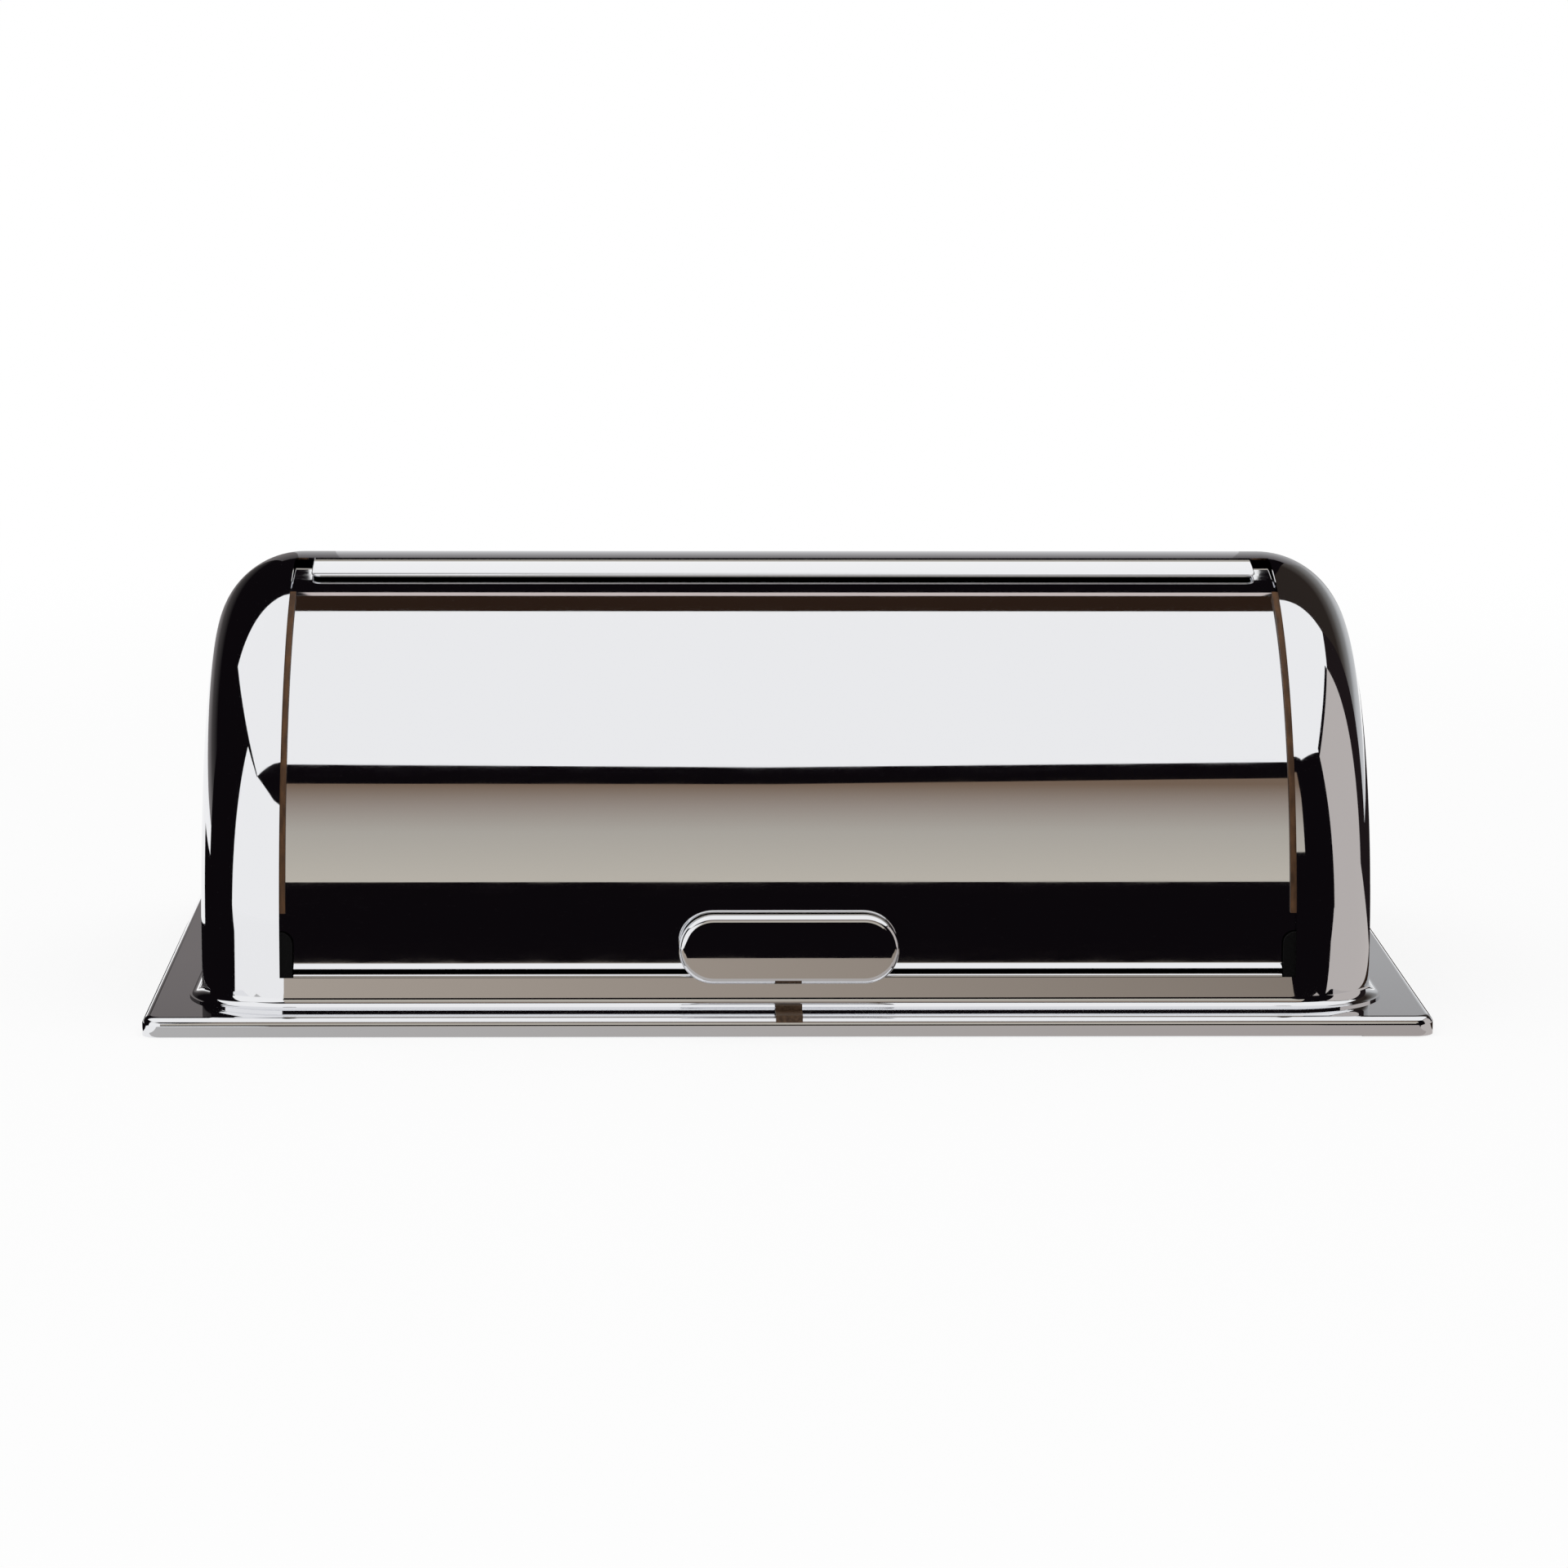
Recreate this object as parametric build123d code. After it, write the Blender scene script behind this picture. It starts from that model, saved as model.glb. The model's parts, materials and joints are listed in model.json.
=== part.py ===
"""Bread box with a roll top: a pressed steel tray, a hood clipped on it and a door that rolls back inside.

Millimetres, +Z up, front towards -Y, origin on the table under the middle of the tray.
Angles about the door's axis are in degrees: 0 points to the front, 90 to the crown, 180 to the rear.
"""
import os
from math import cos, degrees, radians, sin

from build123d import *

# Tray
tray_length = 530.0
tray_depth = 325.0
tray_height = 8.0
tray_sheet = 0.8
tray_corner = 8.0
tray_rim_roll = 3.5
well_margin = 24.0
well_corner = 25.0
well_bottom_radius = 4.0

# Hood
hood_length = 488.0
hood_radius = 145.0
hood_end_radius = 37.0
hood_sheet = 0.8
axis_height = 35.5
foot_radius = 4.5
foot_lip = 0.6

# Window in the front of the hood
window_width = 418.6
window_rear_angle = 85.0
rail_top = 23.0
rail_roll_radius = 1.6

# Strip under the window's rear edge, which covers the slot above the door
cover_sheet = 0.8
cover_side_gap = 7.8
cover_corner = 4.0
cover_front_angle = 75.6
cover_rear_angle = 92.0

# Strips that the door runs under, along both sides of the window
strip_thickness = 1.8
strip_width = 7.0
strip_reach = 2.4
strip_start_angle = 5.0
strip_end_angle = 69.0
running_clearance = 0.35

# Door
door_sheet = 0.8
door_side_overlap = 6.0
door_rear_angle = 95.0
door_travel = 72.0
hem_reach = 2.0
hem_gap = 2.0
hem_inset = 5.7
notch_top = 40.5
notch_corner = 5.0

# Cheeks that carry the door on its pivots
cheek_sheet = 1.5
cheek_inset = 2.0
cheek_rim_width = 15.0
cheek_start_angle = 6.0
cheek_end_angle = 92.0
cheek_flange_width = 12.0
cheek_flange_sheet = 1.2
hub_radius = 16.0
arm_width = 16.0
arm_inset_angle = 6.0

# Angle bar along the rear edge of the door
stiffener_sheet = 0.8
stiffener_width = 10.0
stiffener_leg = 9.0
stiffener_setback = 1.0
stiffener_end_gap = 0.5

# Pivots
bolt_diameter = 6.0
bolt_head_diameter = 16.0
bolt_head_height = 3.0
bolt_head_round = 2.6
bush_wall = 2.0
bush_flange_reach = 3.0
bush_flange_thickness = 1.0
pivot_clearance = 0.05
fit_clearance = 0.02
end_float = 0.3
doubler_diameter = 44.0
doubler_sheet = 1.5
spacer_diameter = 14.0
washer_diameter = 14.0
washer_thickness = 1.2
nut_across_flats = 10.0
nut_hex_height = 5.0
nut_cap_wall = 1.5
nut_crown_radius = 2.5
bolt_past_nut = 1.0

# Handle
handle_width = 90.5
handle_height = 28.9
handle_thickness = 5.0
handle_stand_off = 9.2
handle_edge_radius = 3.0
handle_back_radius = 1.2
handle_angle = -0.3
post_width = 11.0
post_height = 12.0
post_corner = 2.0
screw_spacing = 6.0
screw_diameter = 3.0
screw_head_diameter = 5.5
screw_head_height = 2.0
screw_depth = 7.0
screw_hole_spare = 1.0

# Rubber buffers that the door stops on
buffer_depth = 9.0
buffer_width = 10.0
buffer_gap = 0.4
buffer_side_gap = 0.5
rear_buffer_width = 24.0
rear_buffer_depth = 6.5
rear_buffer_angle = 5.0
rear_buffer_inset = 30.0

# Clips that hold the hood on the tray, at the middle of the front and of the rear
clip_width = 11.0
clip_sheet = 1.0
clip_foot = 12.0
clip_nose = 1.2
clip_drop = 2.0
clip_height = 3.0
clip_hook = 2.85
clip_clearance = 0.15

# Film of glue or weld between a curved sheet and what is fixed inside it
bond_gap = 0.05

# Long enough to cut right through any piece
through = 2.0 * tray_length

# Worked out from the sizes above
hood_half = hood_length / 2
window_half = window_width / 2
hood_inner_radius = hood_radius - hood_sheet
hood_inner_half = hood_half - hood_sheet
door_outer = hood_inner_radius - strip_thickness - running_clearance
door_inner = door_outer - door_sheet
door_seat = door_inner - bond_gap
door_half = window_half + door_side_overlap
hem_half = window_half - hem_inset
hem_height = rail_top + hem_gap + hem_reach
cheek_outer_x = door_half - cheek_inset
cheek_inner_x = cheek_outer_x - cheek_sheet
handle_inner = door_outer + handle_stand_off
handle_outer = handle_inner + handle_thickness
foot_reach = foot_radius + foot_lip
foot_outer_y = hood_radius + foot_reach


def at_angle(radius, angle):
    """Point (y, z) at an angle on a circle about the door's axis."""
    return (-radius * cos(radians(angle)), axis_height + radius * sin(radians(angle)))


def along_x(face, x_low, x_high):
    """Solid of a face drawn in (y, z), from one x to another."""
    return extrude(Plane.YZ.offset(x_low) * face, x_high - x_low)


def rod(y, z, radius, x_low, x_high):
    """Round bar along X."""
    return along_x(Pos(y, z) * Circle(radius), x_low, x_high)


def ring_sector(inner, outer, start, end, x_low, x_high):
    """Part of a ring about the door's axis, between two angles and two x."""
    middle = (start + end) / 2
    outline = [
        ThreePointArc(at_angle(outer, start), at_angle(outer, middle), at_angle(outer, end)),
        Line(at_angle(outer, end), at_angle(inner, end)),
        ThreePointArc(at_angle(inner, end), at_angle(inner, middle), at_angle(inner, start)),
        Line(at_angle(inner, start), at_angle(outer, start)),
    ]
    return along_x(make_face(outline), x_low, x_high)


def arm(angle, inner, outer, width, x_low, x_high):
    """Straight arm that points away from the door's axis."""
    across = (sin(radians(angle)) * width / 2, cos(radians(angle)) * width / 2)
    near = at_angle(inner, angle)
    far = at_angle(outer, angle)
    corners = [
        (near[0] - across[0], near[1] - across[1]),
        (far[0] - across[0], far[1] - across[1]),
        (far[0] + across[0], far[1] + across[1]),
        (near[0] + across[0], near[1] + across[1]),
    ]
    return along_x(make_face(Polyline(*corners, close=True)), x_low, x_high)


def along_y(face, y_low, y_high):
    """Solid of a face drawn in (x, z), from one y to another."""
    return extrude(Plane.XZ.offset(-y_high) * face, y_high - y_low)


def plate(length, depth, corner, z_low, z_high):
    """Flat rounded rectangle, centred on the origin."""
    return extrude(Pos(0, 0, z_low) * RectangleRounded(length, depth, corner), z_high - z_low)


def other_side(piece):
    """The same piece for the left end."""
    return mirror(piece, about=Plane.YZ)


def tray_form():
    """Solid of the tray's outside, with its rim rolled down to the table."""
    outside = plate(tray_length, tray_depth, tray_corner, 0, tray_height)
    return fillet(outside.faces().sort_by(Axis.Z)[-1].edges(), tray_rim_roll)


def serving_tray():
    """Tray with a rim rolled down to the table and a shallow well under the hood."""
    outside = tray_form()
    inside = plate(
        tray_length - 2 * tray_sheet,
        tray_depth - 2 * tray_sheet,
        tray_corner - tray_sheet,
        0,
        tray_height - tray_sheet,
    )
    inside = fillet(inside.faces().sort_by(Axis.Z)[-1].edges(), tray_rim_roll - tray_sheet)
    well_length = hood_length - 2 * well_margin
    well_depth = 2 * (hood_radius - well_margin)
    well = plate(well_length, well_depth, well_corner, 0, tray_height)
    well = fillet(well.faces().sort_by(Axis.Z)[0].edges(), well_bottom_radius)
    hollow = plate(
        well_length - 2 * tray_sheet,
        well_depth - 2 * tray_sheet,
        well_corner - tray_sheet,
        tray_sheet,
        tray_height + tray_sheet,
    )
    hollow = fillet(hollow.faces().sort_by(Axis.Z)[0].edges(), well_bottom_radius - tray_sheet)
    return (outside - inside) + well - hollow


def hood_form(half, radius, end_radius, bottom):
    """Solid of the hood's skin: half a turn of a round-ended bar, on straight skirts."""
    bar = RectangleRounded(2 * half, 2 * radius, end_radius)
    front_half = bar & (Pos(0, -radius / 2) * Rectangle(2 * half, radius))
    dome = revolve(Pos(0, 0, axis_height) * front_half, Axis((0, 0, axis_height), (-1, 0, 0)), 180)
    skirt = extrude(Pos(0, 0, bottom) * bar, axis_height - bottom)
    return dome + skirt


def hood_inside(margin):
    """Space inside the hood, a margin in from its sheet, through its open bottom."""
    inset = hood_sheet + margin
    return hood_form(hood_half - inset, hood_radius - inset, hood_end_radius - inset, 0)


def footed(form, reach, radius, low, high):
    """A form of the hood on a flat foot, with a hollow round between the form's sides and the foot."""
    foot = plate(hood_length + 2 * reach, 2 * (hood_radius + reach), hood_end_radius + reach, low, high)
    joined = form + foot
    ledge = joined.faces().filter_by(GeomType.PLANE).filter_by_position(Axis.Z, high - 0.01, high + 0.01)[0]
    return fillet(ledge.inner_wires()[0].edges(), radius)


def hood_shell():
    """Hood pressed in one piece, with the window, the rail below it and holes for the pivots."""
    skin = hood_form(hood_half, hood_radius, hood_end_radius, tray_height)
    skin = footed(skin, foot_reach, foot_radius, tray_height, tray_height + hood_sheet)
    hollow = footed(hood_inside(0), foot_radius + foot_lip / 4, foot_radius + hood_sheet, 0, tray_height)
    shell = skin - hollow
    crown = at_angle(2 * hood_radius, window_rear_angle)
    outline = [
        (-2 * hood_radius, rail_top - rail_roll_radius),
        (0, rail_top - rail_roll_radius),
        (0, axis_height),
        crown,
        (-2 * hood_radius, crown[1]),
    ]
    window = along_x(make_face(Polyline(*outline, close=True)), -window_half, window_half)
    rolled_edge = rod(
        rail_roll_radius - hood_radius, rail_top - rail_roll_radius, rail_roll_radius, -hem_half, hem_half
    )
    pivot_hole = rod(0, axis_height, bolt_diameter / 2 + pivot_clearance, -through / 2, through / 2)
    return shell - window + rolled_edge - pivot_hole


def rear_cover_strip():
    """Strip fixed under the window's rear edge, narrower than the window, with rounded front corners."""
    half = window_half - cover_side_gap
    outer = hood_inner_radius - bond_gap
    strip = ring_sector(outer - cover_sheet, outer, cover_front_angle, cover_rear_angle, -half, half)
    front = strip.faces().sort_by(Axis.Y)[0]
    return fillet(front.edges().filter_by(Axis.X, reverse=True), cover_corner)


def glide_strip():
    """Strip under the right edge of the window, which keeps the door off the hood."""
    blank = ring_sector(
        door_outer + running_clearance,
        hood_radius,
        strip_start_angle,
        strip_end_angle,
        window_half - strip_reach,
        window_half - strip_reach + strip_width,
    )
    return blank & hood_inside(bond_gap)


def corner_cut(side_x, top, corner):
    """Block that cuts away a bottom corner of the door, outside side_x and below top."""
    width = door_half
    height = 2 * top
    outline = Pos(side_x + width / 2, top - height / 2) * RectangleRounded(width, height, corner)
    return along_y(outline, -hood_radius, 0)


def below_axis(radius, bottom):
    """Block that goes straight down from the front of a bar about the door's axis, to a height."""
    outline = Pos(-radius / 2, (axis_height + bottom) / 2) * Rectangle(radius, axis_height - bottom)
    return along_x(outline, -door_half, door_half)


def door_panel():
    """Curved door, straight below its axis, with a hem turned out and both bottom corners cut away."""
    panel = ring_sector(door_inner, door_outer, 0, door_rear_angle, -door_half, door_half)
    panel = panel + (below_axis(door_outer, hem_height) - below_axis(door_inner, hem_height))
    slant = door_sheet * 2**0.5
    hem = [
        (-door_outer, hem_height),
        (-door_outer - hem_reach, hem_height - hem_reach),
        (-door_outer - hem_reach + slant, hem_height - hem_reach),
        (-door_inner, hem_height - slant + door_sheet),
        (-door_inner, hem_height),
    ]
    panel = panel + along_x(make_face(Polyline(*hem, close=True)), -hem_half, hem_half)
    notch = corner_cut(hem_half, notch_top, notch_corner)
    panel = panel - notch - other_side(notch)
    for rise in (-screw_spacing / 2, screw_spacing / 2):
        panel = panel - screw_rod(rise, screw_diameter / 2 + fit_clearance, through / 2)
    return panel


def door_cheek():
    """Right cheek: a rim spot-welded inside the door, on two arms from the pivot."""
    rim_inner = door_seat - cheek_rim_width
    cheek = ring_sector(
        rim_inner, door_seat, cheek_start_angle, cheek_end_angle, cheek_inner_x, cheek_outer_x
    )
    cheek = cheek + ring_sector(
        door_seat - cheek_flange_sheet,
        door_seat,
        cheek_start_angle,
        cheek_end_angle,
        cheek_inner_x - cheek_flange_width,
        cheek_outer_x,
    )
    for angle in (cheek_start_angle + arm_inset_angle, cheek_end_angle - arm_inset_angle):
        cheek = cheek + arm(
            angle, 0, rim_inner + cheek_rim_width / 2, arm_width, cheek_inner_x, cheek_outer_x
        )
    cheek = cheek + rod(0, axis_height, hub_radius, cheek_inner_x, cheek_outer_x)
    bush_hole = bolt_diameter / 2 + pivot_clearance + bush_wall + fit_clearance
    return cheek - rod(0, axis_height, bush_hole, 0, through / 2)


def door_stiffener():
    """Angle bar spot-welded inside the rear edge of the door, between the cheeks."""
    degrees_per_mm = degrees(1 / door_seat)
    end = door_rear_angle - stiffener_setback * degrees_per_mm
    half = cheek_inner_x - cheek_flange_width - stiffener_end_gap
    base = ring_sector(
        door_seat - stiffener_sheet, door_seat, end - stiffener_width * degrees_per_mm, end, -half, half
    )
    leg = ring_sector(
        door_seat - stiffener_leg, door_seat, end - stiffener_sheet * degrees_per_mm, end, -half, half
    )
    return base + leg


def pivot_stack():
    """Where the pieces on the right pivot meet, from the hood inwards."""
    doubler_face = hood_inner_half - doubler_sheet
    bush_face = cheek_outer_x + bush_flange_thickness
    bush_end = cheek_inner_x - end_float
    washer_face = bush_end - end_float
    nut_face = washer_face - washer_thickness
    bolt_end = nut_face - nut_hex_height - bolt_past_nut
    return doubler_face, bush_face, bush_end, washer_face, nut_face, bolt_end


def drilled_disc(diameter, x_low, x_high, clearance):
    """Round piece on the pivot, with a hole for the bolt."""
    disc = rod(0, axis_height, diameter / 2, x_low, x_high)
    return disc - rod(0, axis_height, bolt_diameter / 2 + clearance, x_low, x_high)


def pivot_bolt():
    """Right pivot bolt: a low domed head outside the hood and a plain shank."""
    bolt_end = pivot_stack()[-1]
    shank = rod(0, axis_height, bolt_diameter / 2, bolt_end, hood_half)
    head = rod(0, axis_height, bolt_head_diameter / 2, hood_half, hood_half + bolt_head_height)
    head = fillet(head.edges().sort_by(Axis.X)[-1], bolt_head_round)
    return shank + head


def pivot_doubler():
    """Right doubler: a disc spot-welded inside the hood's end, round the bolt."""
    return drilled_disc(doubler_diameter, pivot_stack()[0], hood_inner_half, fit_clearance)


def pivot_spacer():
    """Right spacer: a sleeve on the bolt, from the doubler to the bush."""
    doubler_face, bush_face = pivot_stack()[:2]
    return drilled_disc(spacer_diameter, bush_face + end_float, doubler_face, fit_clearance)


def pivot_bush():
    """Right bush: a flanged plastic bearing in the cheek, which turns on the bolt."""
    _, bush_face, bush_end, _, _, _ = pivot_stack()
    bore = bolt_diameter / 2 + pivot_clearance
    body = rod(0, axis_height, bore + bush_wall, bush_end, bush_face)
    flange = rod(0, axis_height, bore + bush_wall + bush_flange_reach, cheek_outer_x, bush_face)
    return body + flange - rod(0, axis_height, bore, bush_end, bush_face)


def pivot_washer():
    """Right washer, under the nut."""
    _, _, _, washer_face, nut_face, _ = pivot_stack()
    return drilled_disc(washer_diameter, nut_face, washer_face, fit_clearance)


def pivot_nut():
    """Right cap nut on the inner end of the bolt."""
    _, _, _, _, nut_face, bolt_end = pivot_stack()
    hexagon = Pos(0, axis_height) * RegularPolygon(nut_across_flats / 2, 6, major_radius=False)
    body = along_x(hexagon, nut_face - nut_hex_height, nut_face)
    cap = rod(0, axis_height, bolt_diameter / 2 + nut_cap_wall, bolt_end - nut_cap_wall, nut_face)
    cap = fillet(cap.edges().sort_by(Axis.X)[0], nut_crown_radius)
    hole = rod(0, axis_height, bolt_diameter / 2 + fit_clearance, bolt_end, nut_face)
    return body + cap - hole


def screw_rod(rise, radius, reach):
    """Round bar at one of the handle's screws, a rise from the handle's middle, pointing to the front."""
    bar = Pos(0, handle_height_point() + rise) * Circle(radius)
    return along_y(bar, -reach, 0)


def handle_height_point():
    """Height of the middle of the handle."""
    return at_angle(handle_outer, handle_angle)[1]


def cylinder_about_axis(radius):
    """Full round bar about the door's axis, for shaping faces that follow the door."""
    return rod(0, axis_height, radius, -through / 2, through / 2)


def handle_plate():
    """Rounded plate, bent like the door, that the hand lifts the door by."""
    outline = Pos(0, handle_height_point()) * SlotOverall(handle_width, handle_height)
    blank = along_y(outline, -2 * handle_outer, -handle_inner / 2)
    blank = blank & (cylinder_about_axis(handle_outer) - cylinder_about_axis(handle_inner))
    front = blank.faces().filter_by(GeomType.CYLINDER).sort_by(SortBy.AREA)[-1]
    rounded = fillet(front.edges(), handle_edge_radius)
    back = rounded.faces().filter_by(GeomType.CYLINDER).sort_by(SortBy.AREA)[-1]
    return fillet(back.edges(), handle_back_radius)


def handle_post():
    """Block between the door and the handle, with blind holes for the screws."""
    outline = Pos(0, handle_height_point()) * RectangleRounded(post_width, post_height, post_corner)
    gap = cylinder_about_axis(handle_inner) - cylinder_about_axis(door_outer)
    gap = gap - below_axis(door_outer, hem_height)
    post = along_y(outline, -2 * handle_inner, 0) & gap
    drill_reach = door_outer + screw_depth + screw_hole_spare
    for rise in (-screw_spacing / 2, screw_spacing / 2):
        post = post - screw_rod(rise, screw_diameter / 2 + fit_clearance, drill_reach)
    return post


def handle_screws():
    """Two screws from inside the door into the handle's post."""
    inside_door = cylinder_about_axis(door_inner) - below_axis(door_outer, hem_height)
    inside_door = inside_door + below_axis(door_inner, hem_height)
    head_low = door_inner - screw_head_height
    screws = []
    for rise in (-screw_spacing / 2, screw_spacing / 2):
        shank = screw_rod(rise, screw_diameter / 2, door_outer + screw_depth)
        head = screw_rod(rise, screw_head_diameter / 2, 2 * door_inner) & inside_door
        behind = Pos(0, -head_low / 2, axis_height) * Box(through, head_low, through)
        screws.append(head + shank - behind)
    return Compound(children=screws)


def front_buffer():
    """Right rubber block behind the cut corner of the door, which the closed door rests on."""
    side = hem_half + buffer_side_gap
    bottom = tray_height + hood_sheet + foot_radius
    height = notch_top - buffer_gap - bottom
    outline = Pos(side + buffer_width / 2, bottom + height / 2) * Rectangle(buffer_width, height)
    blank = along_y(outline, -hood_radius, buffer_depth - hood_inner_radius)
    top_corner = blank.edges().filter_by(Axis.Y).group_by(Axis.Z)[-1].sort_by(Axis.X)[0]
    return fillet(top_corner, notch_corner) & hood_inside(bond_gap)


def rear_buffer():
    """Right rubber block inside the rear of the hood, which the open door stops on."""
    gap_angle = degrees(buffer_gap / door_outer)
    start = door_rear_angle + door_travel + gap_angle
    high_x = window_half - rear_buffer_inset
    blank = ring_sector(
        hood_inner_radius - rear_buffer_depth,
        hood_radius,
        start,
        start + rear_buffer_angle,
        high_x - rear_buffer_width,
        high_x,
    )
    return blank & hood_inside(bond_gap)


def hood_clip():
    """Front clip: it hooks over the hood's foot at one end and over the tray's rim at the other."""
    wall_near = foot_outer_y + clip_clearance
    wall_far = wall_near + clip_sheet
    hook_high = tray_height + clip_height
    hook_low = hook_high - clip_sheet * 1.4
    hook_end = wall_near - clip_hook
    nose_far = wall_near + clip_foot
    outline = [
        (-wall_near, tray_height),
        (-wall_near, hook_low),
        (-hook_end, hook_low),
        (-hook_end, hook_high),
        (-wall_far, hook_high),
        (-wall_far, tray_height + clip_sheet),
        (-nose_far, tray_height + clip_sheet),
        (-nose_far, tray_height - clip_drop),
        (clip_nose - nose_far, tray_height - clip_drop),
        (clip_nose - nose_far, tray_height),
    ]
    blank = along_x(make_face(Polyline(*outline, close=True)), -clip_width / 2, clip_width / 2)
    return blank - tray_form()


def all_pieces():
    """Every piece by name."""
    pieces = {
        "serving_tray": serving_tray(),
        "hood_shell": hood_shell(),
        "rear_cover_strip": rear_cover_strip(),
        "door_panel": door_panel(),
        "door_rear_stiffener": door_stiffener(),
        "handle_plate": handle_plate(),
        "handle_post": handle_post(),
        "handle_screws": handle_screws(),
        "front_hood_clip": hood_clip(),
        "rear_hood_clip": mirror(hood_clip(), about=Plane.XZ),
    }
    paired = {
        "glide_strip": glide_strip(),
        "door_cheek": door_cheek(),
        "pivot_bolt": pivot_bolt(),
        "pivot_doubler": pivot_doubler(),
        "pivot_spacer": pivot_spacer(),
        "pivot_bush": pivot_bush(),
        "pivot_washer": pivot_washer(),
        "pivot_nut": pivot_nut(),
        "front_buffer": front_buffer(),
        "rear_buffer": rear_buffer(),
    }
    for name, piece in paired.items():
        pieces["right_" + name] = piece
        pieces["left_" + name] = other_side(piece)
    return pieces


os.makedirs("parts", exist_ok=True)
for name, piece in all_pieces().items():
    export_step(piece, os.path.join("parts", name + ".step"))
    box = piece.bounding_box()
    print(f"{name:22s} {len(piece.solids())} solid(s) {box.size.X:7.2f} {box.size.Y:7.2f} {box.size.Z:7.2f}")
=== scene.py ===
# %% [markdown]
# A polished steel bread box: a tray with a rolled rim, a hood with round ends, and a curved door that
# rolls back inside the hood. The working model is already packed as solids, which this script loads as
# a fixed frame. Mirror steel shows every facet, so the polished sheets, the handle and the bolts are
# modelled again here with smooth faces. All other solids keep their mesh and only get a better finish.

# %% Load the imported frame
import json
import math

import bmesh
import bpy
from mathutils import Matrix, Vector

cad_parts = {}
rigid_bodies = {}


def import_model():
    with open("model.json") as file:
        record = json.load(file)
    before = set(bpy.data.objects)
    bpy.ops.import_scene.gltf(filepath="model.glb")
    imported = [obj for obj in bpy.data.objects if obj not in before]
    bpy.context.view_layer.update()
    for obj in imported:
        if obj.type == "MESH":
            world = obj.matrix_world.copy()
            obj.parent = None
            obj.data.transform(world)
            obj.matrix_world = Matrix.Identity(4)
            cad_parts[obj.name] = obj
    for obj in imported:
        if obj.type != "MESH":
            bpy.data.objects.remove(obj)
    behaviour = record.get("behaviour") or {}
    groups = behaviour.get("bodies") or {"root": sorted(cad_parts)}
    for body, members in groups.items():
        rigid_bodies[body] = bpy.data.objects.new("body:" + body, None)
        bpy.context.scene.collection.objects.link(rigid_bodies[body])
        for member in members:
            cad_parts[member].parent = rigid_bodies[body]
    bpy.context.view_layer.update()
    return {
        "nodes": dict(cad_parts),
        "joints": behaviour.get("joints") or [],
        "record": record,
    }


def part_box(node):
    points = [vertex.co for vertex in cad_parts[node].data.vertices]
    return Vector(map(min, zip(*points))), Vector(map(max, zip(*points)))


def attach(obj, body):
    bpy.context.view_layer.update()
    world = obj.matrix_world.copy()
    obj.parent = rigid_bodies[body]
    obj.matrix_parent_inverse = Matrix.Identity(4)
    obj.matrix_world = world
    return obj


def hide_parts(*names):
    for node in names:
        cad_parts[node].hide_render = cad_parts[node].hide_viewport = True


for extra in list(bpy.data.objects):
    bpy.data.objects.remove(extra)
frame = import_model()
scene = bpy.context.scene
scene.view_settings.view_transform = "Standard"

# %% [markdown]
# The sizes are those of the solids, in metres. The frame gives the ones that a box round a piece shows,
# so they follow when the part is packed again, and the bends and radii are written out. Vertices closer
# than the merging distance count as one.

# %% Sizes that several pieces share
mm = 0.001
sheet = 0.8 * mm
axis_height = frame["joints"][0]["pos_m"][2]
tray_half_length, tray_half_depth, tray_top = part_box("serving_tray")[1]
foot_round = 4.5 * mm
foot_lip = 0.6 * mm
foot_reach = foot_round + foot_lip
hood_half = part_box("hood_shell")[1].x - foot_reach
hood_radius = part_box("hood_shell")[1].y - foot_reach
hood_end_radius = 37.0 * mm
door_gap = 2.15 * mm
door_overlap = 6.0 * mm
door_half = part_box("door_panel")[1].x
door_radius = hood_radius - sheet - door_gap
window_half = door_half - door_overlap
hem_inset = 5.7 * mm
hem_half = window_half - hem_inset
merging = 1e-6
cutting = 1e-7
print(f"hood {hood_half / mm:.2f} by {hood_radius / mm:.2f} mm, door {door_radius / mm:.2f} mm, "
      f"axis at {axis_height / mm:.2f} mm, window {window_half / mm:.2f} mm, hem {hem_half / mm:.2f} mm")

# %% [markdown]
# Finishes come first, because every piece gets one as it is made. The mirror steel is a bare metal with a
# low roughness. Two noises on Object coordinates break it up: a broad one that bends the reflections a
# little, as rolled sheet does, and a fine one for wiped polish and dust. A noise seldom comes near 0 or 1,
# so the helpers spread its middle part.

# %% Helpers for node materials
range_low, range_high = 0.3, 0.7
colour_low, colour_high = 0.35, 0.65


def new_finish(name):
    """A material with its shader node, ready for textures."""
    finish = bpy.data.materials.new(name)
    finish.use_nodes = True
    return finish, finish.node_tree.nodes["Principled BSDF"]


def noise_on_object(finish, scale, stretch, detail):
    """A noise texture on Object coordinates; its scale counts per metre."""
    nodes, links = finish.node_tree.nodes, finish.node_tree.links
    place = nodes.new("ShaderNodeTexCoord")
    mapping = nodes.new("ShaderNodeMapping")
    mapping.inputs["Scale"].default_value = stretch
    noise = nodes.new("ShaderNodeTexNoise")
    noise.inputs["Scale"].default_value = scale
    noise.inputs["Detail"].default_value = detail
    links.new(place.outputs["Object"], mapping.inputs["Vector"])
    links.new(mapping.outputs["Vector"], noise.inputs["Vector"])
    return noise


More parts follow.
